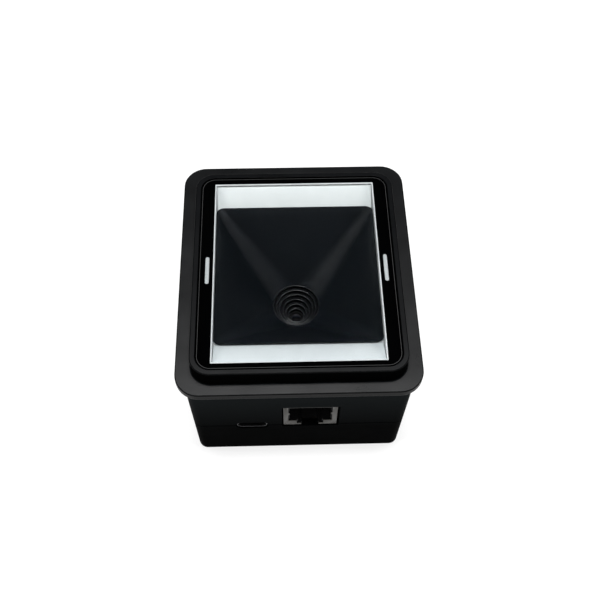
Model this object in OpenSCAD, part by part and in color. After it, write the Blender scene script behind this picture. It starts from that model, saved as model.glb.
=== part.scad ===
// Fixed-mount two-dimensional barcode scanner module with a raised glass window,
// a panel flange, and network and USB sockets in its front wall.
// Millimetres. +Z is up through the window, the sockets face -Y.
// The origin is the centre of the base, under the centre of the flange.

/* [Panel flange] */
// Flange size across the sockets' wall
flange_w = 68; // [67.5:0.1:68.5]
// Flange size from the socket wall to the rear
flange_l = 78.4; // [78:0.1:79]
// Corner radius of the flange
flange_r = 6.75; // [5.5:0.25:7.5]
// Flange thickness
flange_t = 2.5; // [2.3:0.1:2.8]
// Height of the flange's top face above the base
flange_z = 43; // [42.8:0.1:43.4]

/* [Window collar] */
// Collar size in X
collar_w = 59.2; // [58.8:0.1:59.8]
// Collar size in Y
collar_l = 67.6; // [67.2:0.1:68.2]
// Corner radius of the collar
collar_r = 5.5; // [4.6:0.1:6]
// Collar height above the flange
collar_h = 6; // [5.9:0.1:6.3]
// Offset of the collar towards the sockets
collar_y = -2; // [-2.1:0.1:-1.9]

/* [Window] */
// Glass size in X
glass_w = 55.4; // [55:0.1:55.6]
// Glass size in Y
glass_l = 64; // [63.6:0.1:64.2]
// Corner radius of the glass
glass_r = 3.9; // [3.6:0.1:4]
// Glass thickness
glass_t = 1.1; // [1:0.1:1.2]
// How far the glass sits below the collar's top
glass_drop = 0.25; // [0.2:0.05:0.3]
// Clear area of the window in X
clear_w = 47.8; // [47.4:0.1:48]
// Clear area of the window in Y
clear_l = 60.6; // [60.2:0.1:60.8]
// Length of each status light slot
slot_l = 9.2; // [8:0.2:10]
// Width of each status light slot
slot_w = 1.15; // [0.9:0.05:1.2]

/* [Body] */
// Body width under the flange
body_w = 62.7; // [62.5:0.1:63]
// Body length under the flange
body_l = 75.4; // [75.2:0.1:75.8]
// How much narrower each side of the body gets from the flange to the base
draft = 0.43; // [0.3:0.01:0.5]
// Radius of the body's upright edges
body_r = 2.75; // [2.5:0.05:3]
// Wall thickness
wall = 2; // [1.9:0.05:2.1]
// Floor thickness of the lower cover
floor_t = 2.2; // [2:0.1:2.6]
// Height of the line where the lower cover meets the housing
split_z = 18; // [17.9:0.1:18.1]

/* [Light funnel] */
// Funnel mouth in X
mouth_w = 46.9; // [46.5:0.1:47]
// Funnel mouth in Y
mouth_l = 46.8; // [46.4:0.1:47]
// Corner radius of the funnel mouth
mouth_r = 2.3; // [2:0.1:3]
// Radius of the throat where the steps begin
throat_r = 7.2; // [7.1:0.05:7.4]
// Wall thickness of the funnel
funnel_t = 1.2; // [1:0.1:1.4]

/* [Sockets] */
// Centre of the network socket in X
rj_x = 3.2; // [3:0.1:3.4]
// Width of the network socket's shell
rj_w = 15.6; // [15.4:0.1:15.7]
// Height of the network socket's shell
rj_h = 12.7; // [12.5:0.1:12.8]
// Centre of the USB socket in X
usb_x = -13.8; // [-14:0.1:-13.6]
// Width of the USB socket's shell
usb_w = 8.94; // [8.9:0.01:9]
// Height of the USB socket's shell
usb_h = 3.26; // [3.2:0.02:3.3]

/* [Fasteners] */
// Spacing of the two threaded mounting inserts
insert_pitch = 40; // [36:1:42]
// Radius of the thread in each mounting insert
insert_r = 1.5; // [1.25:0.25:1.5]

/* [Hidden] */
$fn = 64;
e = 0.01;

// Levels above the base
roof_z   = flange_z - flange_t;          // underside of the flange, roof of the body
top_z    = flange_z + collar_h;          // top of the collar
glass_z  = top_z - glass_drop;           // top of the glass
mask_t   = 0.1;
tape_t   = 0.3;
mask_z   = glass_z - glass_t - mask_t;   // underside of the printed border
ledge_z  = mask_z - tape_t;              // ledge in the collar under the tape
rim_z    = flange_z + 1.9;               // funnel mouth
throat_z = flange_z - 17;                // where the steps begin
deck_z   = flange_z - 6;                 // top of the funnel's mounting deck
deck_t   = 1.5;
board_z  = split_z - 1;                  // top of the main board
board_t  = 1.6;
cam_z    = 11;                           // top of the camera board
cam_t    = 1;

// Plan positions
win_y    = -1.7;                         // middle of the clear area and of the funnel
hole_w   = 53;                           // clear way through the collar, X
hole_l   = 62.2;                         // clear way through the collar, Y
hole_y   = -1.8;
slot_x   = 25.55;
slot_y   = -2.35;
case_x   = 26.9;
case_y   = 33.2;
far_boss_y  = 32.8;
near_boss_y = -34;
boss_x   = 19;
pcb_x    = 24.5;
pcb_far  = 22;
pcb_near = -19;
cam_post = 8.8;
buzz_x   = 15.5;
buzz_y   = 19.5;
steps = [[6.9, 24.9], [5.96, 23.7], [5.06, 22.6], [4.0, 21.3], [3.07, 19.8], [2.29, 18.3]];

black = [0.045, 0.047, 0.052];
white = [0.88, 0.9, 0.91];
metal = [0.62, 0.61, 0.58];
gold  = [0.83, 0.64, 0.3];
green = [0.05, 0.24, 0.14];

module rrect(w, l, r) {
    square([w - 2 * r, l], center = true);
    square([w, l - 2 * r], center = true);
    for (x = [-1, 1], y = [-1, 1])
        translate([x * (w / 2 - r), y * (l / 2 - r)]) circle(r);
}

module plate(w, l, r, z0, z1, y = 0) {
    translate([0, y, z0]) linear_extrude(z1 - z0) rrect(w, l, r);
}

module block(x0, x1, y0, y1, z0, z1) {
    translate([x0, y0, z0]) cube([x1 - x0, y1 - y0, z1 - z0]);
}

// inset of the body's side at height z
function inset(z) = draft * (roof_z - z) / roof_z;

// tapering body outline, shrunk by off on every side
module body_form(z0, z1, off) {
    hull() {
        for (z = [z0, z1 - e])
            translate([0, 0, z]) linear_extrude(e)
                rrect(body_w - 2 * (inset(z) + off), body_l - 2 * (inset(z) + off),
                      max(body_r - off, 0.75), $fn = 32);
    }
}

module at_corners(x, y) {
    for (sx = [-1, 1], sy = [-1, 1]) translate([sx * x, sy * y, 0]) children();
}

module post(r, z0, z1) { translate([0, 0, z0]) cylinder(r = r, h = z1 - z0); }

// screw with its head's bearing face at zero, shank up
module screw(head_r, head_h, shank_r, len) {
    difference() {
        translate([0, 0, -head_h]) cylinder(r = head_r, h = head_h);
        translate([0, 0, -head_h - e]) cylinder(r = head_r * 0.42, h = head_h * 0.55, $fn = 6);
    }
    cylinder(r = shank_r, h = len);
}

// ---- sockets' cut-outs in the front wall ----
module socket_cuts() {
    block(rj_x - rj_w / 2 - 0.3, rj_x + rj_w / 2 + 0.6, -40, -body_l / 2 + wall + 1.2, split_z - 1.1, split_z - 0.9 + rj_h + 0.2);
    hull() for (s = [-1, 1])
        translate([usb_x + s * (usb_w / 2 - usb_h / 2), -body_l / 2 + wall + 1.2, split_z - 0.15])
            rotate([90, 0, 0]) cylinder(r = usb_h / 2 + 0.3, h = 6, $fn = 32);
}

module top_housing() color(black) difference() {
    union() {
        plate(flange_w, flange_l, flange_r, roof_z, flange_z);
        plate(collar_w, collar_l, collar_r, flange_z - 1, top_z, collar_y);
        difference() {
            body_form(split_z + 0.05, roof_z + 1, 0);
            body_form(split_z - 1, roof_z, wall);
        }
        at_corners(case_x, case_y) post(2.6, split_z, roof_z + 0.5);
        for (s = [-1, 1]) {
            translate([s * boss_x, far_boss_y, 0]) post(2.2, deck_z, roof_z + 0.5);
            translate([s * boss_x, near_boss_y, 0]) post(2, deck_z, roof_z + 0.5);
        }
    }
    plate(glass_w + 0.6, glass_l + 0.6, glass_r + 0.3, ledge_z, top_z + 1, collar_y);
    plate(hole_w, hole_l, 1.5, roof_z - 1, top_z, hole_y);
    socket_cuts();
    at_corners(case_x, case_y) post(1.05, split_z - 1, split_z + 9);
    for (s = [-1, 1]) {
        translate([s * boss_x, far_boss_y, 0]) post(0.9, deck_z - 1, deck_z + 4.6);
        translate([s * boss_x, near_boss_y, 0]) post(0.9, deck_z - 1, deck_z + 4.6);
    }
}

module lower_cover() color(black) difference() {
    union() {
        difference() {
            body_form(0, split_z - 0.1, 0);
            body_form(floor_t, split_z + 1, wall);
        }
        at_corners(case_x, case_y) {
            post(3.4, 0.5, 9);
            post(2.6, 8, split_z);
        }
        for (x = [-1, 1], y = [pcb_far, pcb_near]) translate([x * pcb_x, y, 0]) post(2.6, floor_t - 1, board_z - board_t);
        for (x = [-1, 1]) translate([x * insert_pitch / 2, 0, 0]) post(3.8, floor_t - 1, 8);
        // tongues that locate the housing
        for (s = [-1, 1]) {
            mid = body_w / 2 - wall - inset(split_z);
            block(s > 0 ? mid - 0.1 - 0.9 : -mid - 0.6, s > 0 ? mid + 0.6 : -mid + 1, -16, 18, split_z - 2, split_z - 0.1);
            block(s > 0 ? mid - 0.1 - 0.9 : -mid + 0.1, s > 0 ? mid - 0.1 : -mid + 1, -16, 18, split_z - 0.2, split_z + 1.4);
        }
        far = body_l / 2 - wall - inset(split_z);
        block(-20, 20, far - 1, far + 0.6, split_z - 2, split_z - 0.1);
        block(-20, 20, far - 1, far - 0.1, split_z - 0.2, split_z + 1.4);
    }
    socket_cuts();
    at_corners(case_x, case_y) {
        post(2.4, -1, 7);
        post(1.3, 6, split_z + 1);
    }
    for (x = [-1, 1], y = [pcb_far, pcb_near]) translate([x * pcb_x, y, 0]) post(0.9, board_z - board_t - 7, board_z);
    for (x = [-1, 1]) translate([x * insert_pitch / 2, 0, 0]) post(2.1, -1, 6.4);
    // sound holes under the buzzer
    translate([buzz_x, buzz_y, 0]) {
        post(0.7, -1, 4);
        for (a = [0 : 60 : 300]) rotate([0, 0, a]) translate([2.6, 0, 0]) post(0.7, -1, 4);
    }
}

// ---- window stack ----
module window_glass() color([0.55, 0.6, 0.62, 0.4])
    plate(glass_w, glass_l, glass_r, glass_z - glass_t, glass_z, collar_y);

module slot_shape() {
    for (s = [-1, 1]) translate([s * slot_x, slot_y]) {
        square([slot_w, slot_l - slot_w], center = true);
        for (t = [-1, 1]) translate([0, t * (slot_l - slot_w) / 2]) circle(slot_w / 2);
    }
}

module window_mask() color([0.01, 0.01, 0.012]) translate([0, 0, mask_z]) linear_extrude(mask_t) difference() {
    translate([0, collar_y]) rrect(glass_w - 0.4, glass_l - 0.4, glass_r - 0.2);
    translate([0, win_y]) square([clear_w, clear_l], center = true);
    slot_shape();
}

module window_tape() color([0.1, 0.1, 0.1]) translate([0, 0, ledge_z]) linear_extrude(tape_t) difference() {
    translate([0, collar_y]) rrect(glass_w - 0.4, glass_l - 0.4, glass_r - 0.2);
    translate([0, hole_y]) rrect(hole_w + 0.2, hole_l, 2);
}

module status_light_pipes() color([0.8, 0.82, 0.84]) {
    translate([0, 0, roof_z - 0.4]) linear_extrude(mask_z - 0.1 - roof_z + 0.4) slot_shape();
    for (s = [-1, 1]) translate([s * slot_x, slot_y, 0]) block(-1.3, 1.3, -5.4, 5.4, roof_z - 1.6, roof_z - 0.1);
}

// ---- light box ----
frame_top = mask_z - 0.05;
frame_bot = roof_z + 0.5;
fx = mouth_w / 2 + 0.1;     // inner face of the reflector's side walls
fy0 = win_y - clear_l / 2 + 0.4;
fy1 = win_y + clear_l / 2 - 0.4;

module reflector_frame() color(white) {
    difference() {
        block(-fx - 1.2, fx + 1.2, fy0 - 0.95, fy1 + 0.75, frame_bot, frame_top);
        block(-fx, fx, fy0, fy1, frame_bot - 1, frame_top + 1);
    }
    // legs that stand on the funnel's deck
    for (s = [0, 1]) mirror([s, 0, 0]) {
        block(fx - 1.7, fx + 0.4, fy1 - 1.6, fy1 + 0.75, deck_z, frame_bot + 0.6);
        block(fx - 1.7, fx + 0.4, fy0 - 0.95, fy0 + 1.2, deck_z, frame_bot + 0.6);
    }
    // ledges that carry the rounded corners of the funnel's mouth
    difference() {
        for (s = [0, 1]) mirror([s, 0, 0]) {
            block(20.6, fx + 0.2, win_y + mouth_l / 2 - 2.9, win_y + mouth_l / 2 - 0.45, rim_z - 1.9, rim_z - 1);
            block(20.6, fx + 0.2, win_y - mouth_l / 2 + 0.45, win_y - mouth_l / 2 + 2.9, rim_z - 1.9, rim_z - 1);
        }
        funnel_form(0.05, rim_z, throat_z - funnel_t - 0.4);
    }
}

// sloping panel: outer top edge at y0, inner lower edge at y1
module diffuser(y0, y1) {
    z0 = frame_top - 0.35;
    z1 = rim_z - 0.65;
    rotate([90, 0, 90]) translate([0, 0, -fx + 0.12]) linear_extrude(2 * fx - 0.24)
        polygon([[y0, z0], [y1, z1], [y1, z1 - 1.1], [y0, z0 - 1.1]]);
}
module diffuser_far() color(white) diffuser(fy1 - 0.25, win_y + mouth_l / 2 - 0.3);
module diffuser_near() color(white) diffuser(fy0 + 0.1, win_y - mouth_l / 2 + 0.3);

module funnel_form(off, z_top, z_bot) {
    hull() {
        translate([0, win_y, z_top - e]) linear_extrude(e) rrect(mouth_w + 2 * off, mouth_l + 2 * off, mouth_r + off, $fn = 32);
        translate([0, win_y, z_bot]) cylinder(r = throat_r + off, h = e, $fn = 64);
    }
}

module light_funnel() color([0.06, 0.062, 0.07]) difference() {
    union() {
        // four walls that flow from the mouth into the round throat
        funnel_form(0, rim_z, throat_z - funnel_t - 0.4);
        translate([0, win_y, 0]) post(throat_r + 1.3, 19, throat_z + 1);
        block(-11, 11, win_y - 11, win_y + 11, cam_z + 5.9, 19.8);
        translate([0, win_y, 0]) at_corners(cam_post, cam_post) post(1.9, cam_z, cam_z + 6.5);
        // mounting deck
        difference() {
            block(-28.4, 28.4, -34.7, 34.9, deck_z - deck_t, deck_z);
            at_corners(case_x, case_y) post(3.3, 0, 60);
            for (s = [-1, 1]) {
                block(s > 0 ? 27.5 : -29, s > 0 ? 29 : -27.5, slot_y - 2.6, slot_y + 2.6, 30, 40);
                translate([s * boss_x, far_boss_y, 0]) post(1.15, 30, 40);
                translate([s * boss_x, near_boss_y + 0.4, 0]) post(1.3, 30, 40);
            }
            block(-4, 4, 30.9, 32.2, 30, 40);
            block(11.8, 16.4, -34, -32.6, 30, 40);
        }
    }
    // inside of the funnel
    hull() {
        translate([0, win_y, rim_z]) linear_extrude(1) rrect(mouth_w - 0.5, mouth_l - 0.5, mouth_r - 0.2, $fn = 32);
        translate([0, win_y, throat_z]) cylinder(r = throat_r, h = e, $fn = 64);
    }
    for (s = steps) translate([0, win_y, 0]) post(s[0], s[1], throat_z + 0.2);
    translate([0, win_y, 0]) post(3.9, cam_z, 18.3);
    translate([0, win_y, 0]) at_corners(cam_post, cam_post) post(0.65, cam_z - 1, cam_z + 5);
}

module led_board(y0, y1) block(-21, 21, y0, y1, deck_z, deck_z + 1);
module led_chips(y) for (i = [-2 : 2]) translate([i * 8.6, y, deck_z + 1]) {
    block(-1.75, 1.75, -1.4, 1.4, 0, 0.75);
}
module led_board_far() color(white) led_board(18.8, 28);
module led_board_near() color(white) led_board(-31, -22.2);
module led_chips_far() color([0.95, 0.9, 0.6]) led_chips(23.4);
module led_chips_near() color([0.95, 0.9, 0.6]) led_chips(-26.4);

module status_boards() color(green) for (s = [-1, 1]) translate([s * 24.9, slot_y, 0])
    block(-1.9, 1.9, -7, 7, deck_z, deck_z + 1);
module status_leds() color([0.8, 0.95, 0.8]) for (s = [-1, 1], t = [-1, 1]) translate([s * 25.3, slot_y + t * 2.6, 0])
    block(-0.8, 0.8, -1, 1, deck_z + 1, deck_z + 1.7);

// ---- camera ----
module lens_front() color([0.2, 0.25, 0.45]) translate([0, win_y, 0]) {
    post(1.48, 16.9, 17.7);
    intersection() {
        post(1.48, 17.6, 18.3);
        translate([0, 0, 17.7 - 2.6]) sphere(r = 3, $fn = 64);
    }
}
module lens_barrel() color([0.02, 0.02, 0.02]) translate([0, win_y, 0]) difference() {
    post(3.5, 12.9, 18.15);
    post(2.6, 12, 16.9);
    post(1.5, 16, 19);
    translate([0, 0, 17.75]) cylinder(r1 = 1.5, r2 = 2.05, h = 0.41);
}
module lens_holder() color([0.03, 0.03, 0.03]) translate([0, win_y, 0]) difference() {
    union() {
        block(-5.8, 5.8, -5.8, 5.8, cam_z, 13.4);
        post(4.7, 13, 16.4);
    }
    block(-4.2, 4.2, -4.2, 4.2, cam_z - 1, 12.6);
    post(3.52, 12, 17);
}
module ir_filter() color([0.5, 0.8, 0.75]) translate([0, win_y, 0]) block(-4.1, 4.1, -4.1, 4.1, 12.3, 12.6);
module image_sensor() color([0.15, 0.15, 0.2]) translate([0, win_y, 0]) block(-3.2, 3.2, -3, 3, cam_z, cam_z + 1);
module camera_board() color(green) translate([0, win_y, 0]) difference() {
    block(-11, 11, -11, 11, cam_z - cam_t, cam_z);
    at_corners(cam_post, cam_post) post(0.85, 0, 20);
}
module camera_sockets() color([0.85, 0.82, 0.75]) {
    block(-4, 4, win_y + 4, win_y + 7, cam_z - cam_t - 1.2, cam_z - cam_t);
    block(-4, 4, 17.2, 20, board_z - board_t - 1.2, board_z - board_t);
}
module camera_flex() color([0.75, 0.5, 0.15]) rotate([90, 0, 90]) translate([0, 0, -3]) linear_extrude(6) {
    z0 = cam_z - cam_t - 0.6;
    z1 = board_z - board_t - 0.6;
    y0 = win_y + 7;
    polygon([[y0, z0 - 0.2], [15, z0 - 0.2], [15, z1 - 0.2], [17.2, z1 - 0.2], [17.2, z1],
             [14.8, z1], [14.8, z0], [y0, z0]]);
}

// ---- main board ----
module main_board() color(green) difference() {
    block(-28, 28, -35, 34.3, board_z - board_t, board_z);
    at_corners(case_x, case_y) post(3.8, 0, 40);
    block(-12, 12, win_y - 12, win_y + 12, 0, 40);
    block(usb_x - usb_w / 2 - 0.15, usb_x + usb_w / 2 + 0.15, -36, -29.5, 0, 40);
    for (x = [-1, 1], y = [pcb_far, pcb_near]) translate([x * pcb_x, y, 0]) post(1.1, 0, 40);
}
module board_sockets() color([0.85, 0.82, 0.75]) {
    block(-4, 4, 27, 29.6, board_z, board_z + 2);
    block(12, 16.4, -31, -28.4, board_z, board_z + 2);
    for (s = [-1, 1]) translate([s * 25.6, slot_y, 0]) block(-1.2, 1.2, -2.6, 2.6, board_z, board_z + 2);
}
// flat cable from a light board's edge, down past the deck, to a socket on the main board
module flat_cable(x0, w, y_board, y_drop, y_socket) {
    zt = deck_z + 1;
    zs = board_z + 1;
    d = y_drop > y_board ? 0.2 : -0.2;
    rotate([90, 0, 90]) translate([0, 0, x0]) linear_extrude(w)
        polygon([[y_board, zt], [y_drop - d, zt], [y_drop - d, zs + 0.2], [y_socket, zs + 0.2], [y_socket, zs],
                 [y_drop, zs], [y_drop, zt + 0.2], [y_board, zt + 0.2]]);
}
module led_cable_far() color([0.9, 0.9, 0.88]) flat_cable(-3.5, 7, 26.5, 31.6, 29.6);
module led_cable_near() color([0.9, 0.9, 0.88]) flat_cable(12.3, 3.8, -30, -33.4, -31);
module status_cables() color([0.9, 0.9, 0.88]) for (s = [0, 1]) mirror([s, 0, 0])
    translate([0, slot_y + 2, 0]) rotate([90, 0, 0]) linear_extrude(4)
        polygon([[26.3, deck_z + 1], [27.8, deck_z + 1], [27.8, board_z + 1.2], [26.8, board_z + 1.2], [26.8, board_z + 1],
                 [28, board_z + 1], [28, deck_z + 1.2], [26.3, deck_z + 1.2]]);

// ---- network socket ----
rj_z  = board_z + 0.1;
rj_y0 = -body_l / 2 + 0.5;
rj_y1 = rj_y0 + 15.6;
module rj_mouth() {
    // outline of the opening, seen from the front
    translate([rj_x, rj_z]) polygon([[-6.35, 12.1], [6.35, 12.1], [6.35, 3.1], [3.9, 3.1], [3.9, 1.2], [2.55, 1.2], [2.55, -1],
        [-2.55, -1], [-2.55, 1.2], [-3.9, 1.2], [-3.9, 3.1], [-6.35, 3.1]]);
}
module rj45_shell() color(metal) difference() {
    block(rj_x - rj_w / 2, rj_x + rj_w / 2, rj_y0, rj_y1, rj_z, rj_z + rj_h);
    block(rj_x - rj_w / 2 + 0.3, rj_x + rj_w / 2 - 0.3, rj_y0 + 0.3, rj_y1 - 0.3, rj_z - 1, rj_z + rj_h - 0.3);
    translate([0, rj_y0 + 1, 0]) rotate([90, 0, 0]) linear_extrude(3) rj_mouth();
}
module rj45_insert() color([0.03, 0.03, 0.03]) difference() {
    block(rj_x - rj_w / 2 + 0.35, rj_x + rj_w / 2 - 0.35, rj_y0 + 0.35, rj_y1 - 0.35, rj_z, rj_z + rj_h - 0.35);
    block(rj_x - 6, rj_x + 6, rj_y0 - 1, rj_y0 + 12.5, rj_z + 3.2, rj_z + 11.9);
    block(rj_x - 3.5, rj_x + 3.5, rj_y0 - 1, rj_y0 + 12.5, rj_z + 1.5, rj_z + 4);
    block(rj_x - 2.4, rj_x + 2.4, rj_y0 - 1, rj_y0 + 9, rj_z - 1, rj_z + 4);
}
module rj45_contacts() color(gold) for (i = [0 : 7]) translate([rj_x + (i - 3.5) * 1.02 - 0.2, 0, 0])
    rotate([90, 0, 90]) linear_extrude(0.4)
        polygon([[rj_y0 + 2.2, rj_z + 11.88], [rj_y0 + 2.2, rj_z + 11.5], [rj_y0 + 9.6, rj_z + 8.9],
                 [rj_y0 + 12.48, rj_z + 8.9], [rj_y0 + 12.48, rj_z + 9.2], [rj_y0 + 9.7, rj_z + 9.2], [rj_y0 + 2.8, rj_z + 11.6], [rj_y0 + 2.8, rj_z + 11.88]]);

// ---- USB socket ----
usb_z  = split_z - 0.15;
usb_y0 = -body_l / 2 + 0.55;
module usb_oval(w, h, y0, y1) {
    translate([usb_x, y1, usb_z]) rotate([90, 0, 0]) linear_extrude(y1 - y0) {
        square([w - h, h], center = true);
        for (s = [-1, 1]) translate([s * (w - h) / 2, 0]) circle(h / 2);
    }
}
module usb_shell() color(metal) {
    difference() {
        usb_oval(usb_w, usb_h, usb_y0, usb_y0 + 7.3);
        usb_oval(usb_w - 0.6, usb_h - 0.6, usb_y0 - 1, usb_y0 + 8);
    }
    for (s = [-1, 1], t = [4.2, 6.2]) translate([usb_x + s * (usb_w / 2 + 0.45), usb_y0 + t, board_z])
        block(-0.55, 0.55, -0.4, 0.4, 0, 0.3);
}
module usb_tongue() color([0.02, 0.02, 0.02]) union() {
    usb_oval(usb_w - 0.62, usb_h - 0.62, usb_y0 + 6.2, usb_y0 + 7.3);
    translate([usb_x, usb_y0, usb_z]) block(-3.3, 3.3, 0.8, 6.4, -0.35, 0.35);
}
module usb_contacts() color(gold) translate([usb_x, usb_y0, usb_z]) for (i = [0 : 7], s = [-1, 1])
    translate([(i - 3.5) * 0.75, 0, 0]) block(-0.14, 0.14, 1.2, 6.1, s > 0 ? 0.35 : -0.4, s > 0 ? 0.4 : -0.35);

// ---- parts on the main board ----
module processor() color([0.05, 0.05, 0.06]) block(-19, -5, 13, 27, board_z, board_z + 1.4);
module memory_chip() color([0.05, 0.05, 0.06]) block(7.5, 17.5, 13, 23, board_z, board_z + 1.1);
module network_transformer() color([0.06, 0.06, 0.07]) block(-4.4, 10.8, -20.9, -14.9, board_z, board_z + 2.4);
module power_inductor() color([0.22, 0.22, 0.24]) translate([-14, -20.5, board_z]) difference() {
    block(-3, 3, -3, 3, 0, 2.8);
    translate([0, 0, 2.5]) cylinder(r = 2, h = 1);
}
module capacitors() color([0.75, 0.75, 0.78]) {
    for (p = [[-22, -28.5], [17.5, -22.5]]) translate([p[0], p[1], board_z]) cylinder(r = 2, h = 4.6);
    for (i = [0 : 4]) translate([-19 + i * 3.4, 29.5, board_z]) block(-0.8, 0.8, -0.5, 0.5, 0, 0.9);
}
module crystal() color(metal) block(-21.8, -19.8, 5, 8.2, board_z, board_z + 0.8);
module buzzer() color([0.04, 0.04, 0.04]) translate([buzz_x, buzz_y, 0]) difference() {
    post(4.8, board_z - board_t - 5, board_z - board_t);
    post(1, board_z - board_t - 6, board_z - board_t - 4);
}

// ---- fasteners ----
module case_screws() color([0.2, 0.2, 0.21]) at_corners(case_x, case_y) translate([0, 0, 7]) screw(2.2, 1.7, 1.03, 18);
module funnel_screws() color([0.3, 0.3, 0.31]) for (s = [-1, 1]) {
    translate([s * boss_x, far_boss_y, deck_z - deck_t]) screw(1.9, 1.3, 0.88, deck_t + 4);
    translate([s * boss_x, near_boss_y, deck_z - deck_t]) screw(1.6, 1.3, 0.88, deck_t + 4);
}
module board_screws() color([0.3, 0.3, 0.31]) for (x = [-1, 1], y = [pcb_far, pcb_near])
    translate([x * pcb_x, y, board_z]) rotate([180, 0, 0]) screw(1.9, 1.3, 0.88, 7);
module camera_screws() color([0.3, 0.3, 0.31]) translate([0, win_y, cam_z - cam_t]) at_corners(cam_post, cam_post) screw(1.3, 0.9, 0.63, 4.6);
module mount_inserts() color([0.72, 0.55, 0.25]) for (x = [-1, 1]) translate([x * insert_pitch / 2, 0, 0]) difference() {
    post(2.1, 0, 5.8);
    post(insert_r, -1, 6);
}

top_housing();
lower_cover();
window_glass();
window_mask();
window_tape();
reflector_frame();
diffuser_far();
diffuser_near();
light_funnel();
led_board_far();
led_board_near();
led_chips_far();
led_chips_near();
status_light_pipes();
status_boards();
status_leds();
lens_front();
lens_barrel();
lens_holder();
ir_filter();
image_sensor();
camera_board();
camera_flex();
camera_sockets();
main_board();
board_sockets();
led_cable_far();
led_cable_near();
status_cables();
rj45_shell();
rj45_insert();
rj45_contacts();
usb_shell();
usb_tongue();
usb_contacts();
processor();
memory_chip();
network_transformer();
power_inductor();
capacitors();
crystal();
buzzer();
case_screws();
funnel_screws();
board_screws();
camera_screws();
mount_inserts();
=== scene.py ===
import bpy, bmesh, math
import numpy as np
from mathutils import Vector, Matrix

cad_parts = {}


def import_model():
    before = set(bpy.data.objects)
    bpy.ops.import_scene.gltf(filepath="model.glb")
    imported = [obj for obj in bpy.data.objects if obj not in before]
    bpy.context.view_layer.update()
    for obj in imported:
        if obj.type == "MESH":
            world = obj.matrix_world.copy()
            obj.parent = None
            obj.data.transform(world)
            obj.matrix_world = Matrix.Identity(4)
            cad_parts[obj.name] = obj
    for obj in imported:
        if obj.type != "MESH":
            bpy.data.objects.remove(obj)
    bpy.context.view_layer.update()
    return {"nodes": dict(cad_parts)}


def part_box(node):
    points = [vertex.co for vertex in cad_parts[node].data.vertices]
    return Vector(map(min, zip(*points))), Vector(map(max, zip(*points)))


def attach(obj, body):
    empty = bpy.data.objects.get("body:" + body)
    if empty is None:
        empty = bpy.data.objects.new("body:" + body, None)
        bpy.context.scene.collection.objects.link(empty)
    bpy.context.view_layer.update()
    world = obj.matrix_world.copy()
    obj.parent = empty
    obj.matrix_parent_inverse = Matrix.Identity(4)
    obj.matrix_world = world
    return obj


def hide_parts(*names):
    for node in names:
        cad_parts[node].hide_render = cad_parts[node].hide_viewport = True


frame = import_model()
scene = bpy.context.scene
scene.view_settings.view_transform = "Standard"
scene.view_settings.look = "None"
MM = 0.001

# ---------------------------------------------------------------- dimensions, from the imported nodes
def mm(node):
    lo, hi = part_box(node)
    return [c * 1000 for c in lo], [c * 1000 for c in hi]

H_LO, H_HI = mm("top_housing")
L_LO, L_HI = mm("lower_cover")
G_LO, G_HI = mm("window_glass")
K_LO, K_HI = mm("window_mask")
FR_LO, FR_HI = mm("reflector_frame")
FU_LO, FU_HI = mm("light_funnel")
RJ_LO, RJ_HI = mm("rj45_shell")
US_LO, US_HI = mm("usb_shell")
PI_LO, PI_HI = mm("status_light_pipes")

TOP = H_HI[2]                    # top of the collar
FLZ = TOP - 6.0                  # flange's top face
ROOF = FLZ - 2.5                 # flange's underside
SPLIT = H_LO[2]                  # foot of the corner bosses, where the cover meets
FLW, FLL = H_HI[0] - H_LO[0], H_HI[1] - H_LO[1]
GLW, GLL = G_HI[0] - G_LO[0], G_HI[1] - G_LO[1]
COL_Y = (G_LO[1] + G_HI[1]) / 2
COLW, COLL = GLW + 3.8, GLL + 3.6
BODW, BODL, DRAFT, BODR = 62.7, 75.4, 0.43, 2.75
WIN_Y = COL_Y + 0.3
CLW, CLL = 47.8, 60.6
FX = (FR_HI[0] - FR_LO[0]) / 2 - 1.2         # inner face of the reflector's side walls
FY0, FY1 = FR_LO[1] + 0.95, FR_HI[1] - 0.75
RIM = FU_HI[2]
MW, ML, MR = 47.6, 46.8, 2.5
THROAT_R, THROAT_Z = 7.2, FLZ - 17
DECK = FLZ - 6

def inset(z):
    return DRAFT * (ROOF - z) / ROOF

# ---------------------------------------------------------------- mesh helpers
def ring(w, l, r, yc, z, seg=10, xc=0.0):
    pts = []
    r = max(r, 0.01)
    for k, (sx, sy) in enumerate(((1, 1), (-1, 1), (-1, -1), (1, -1))):
        for i in range(seg + 1):
            a = math.radians(90 * k + 90 * i / seg)
            pts.append((xc + sx * (w / 2 - r) + r * math.cos(a), yc + sy * (l / 2 - r) + r * math.sin(a), z))
    return pts

def circle(r, z, n=64, xc=0.0, yc=0.0, a0=0.0):
    return [(xc + r * math.cos(a0 + 2 * math.pi * i / n), yc + r * math.sin(a0 + 2 * math.pi * i / n), z) for i in range(n)]

def mesh_from(name, verts, faces, mats=None):
    me = bpy.data.meshes.new(name)
    me.from_pydata([(x * MM, y * MM, z * MM) for x, y, z in verts], [], faces)
    if mats is not None:
        me.polygons.foreach_set("material_index", mats)
    me.update()
    bm = bmesh.new(); bm.from_mesh(me)
    bmesh.ops.recalc_face_normals(bm, faces=bm.faces)
    bm.to_mesh(me); bm.free()
    return me

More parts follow.
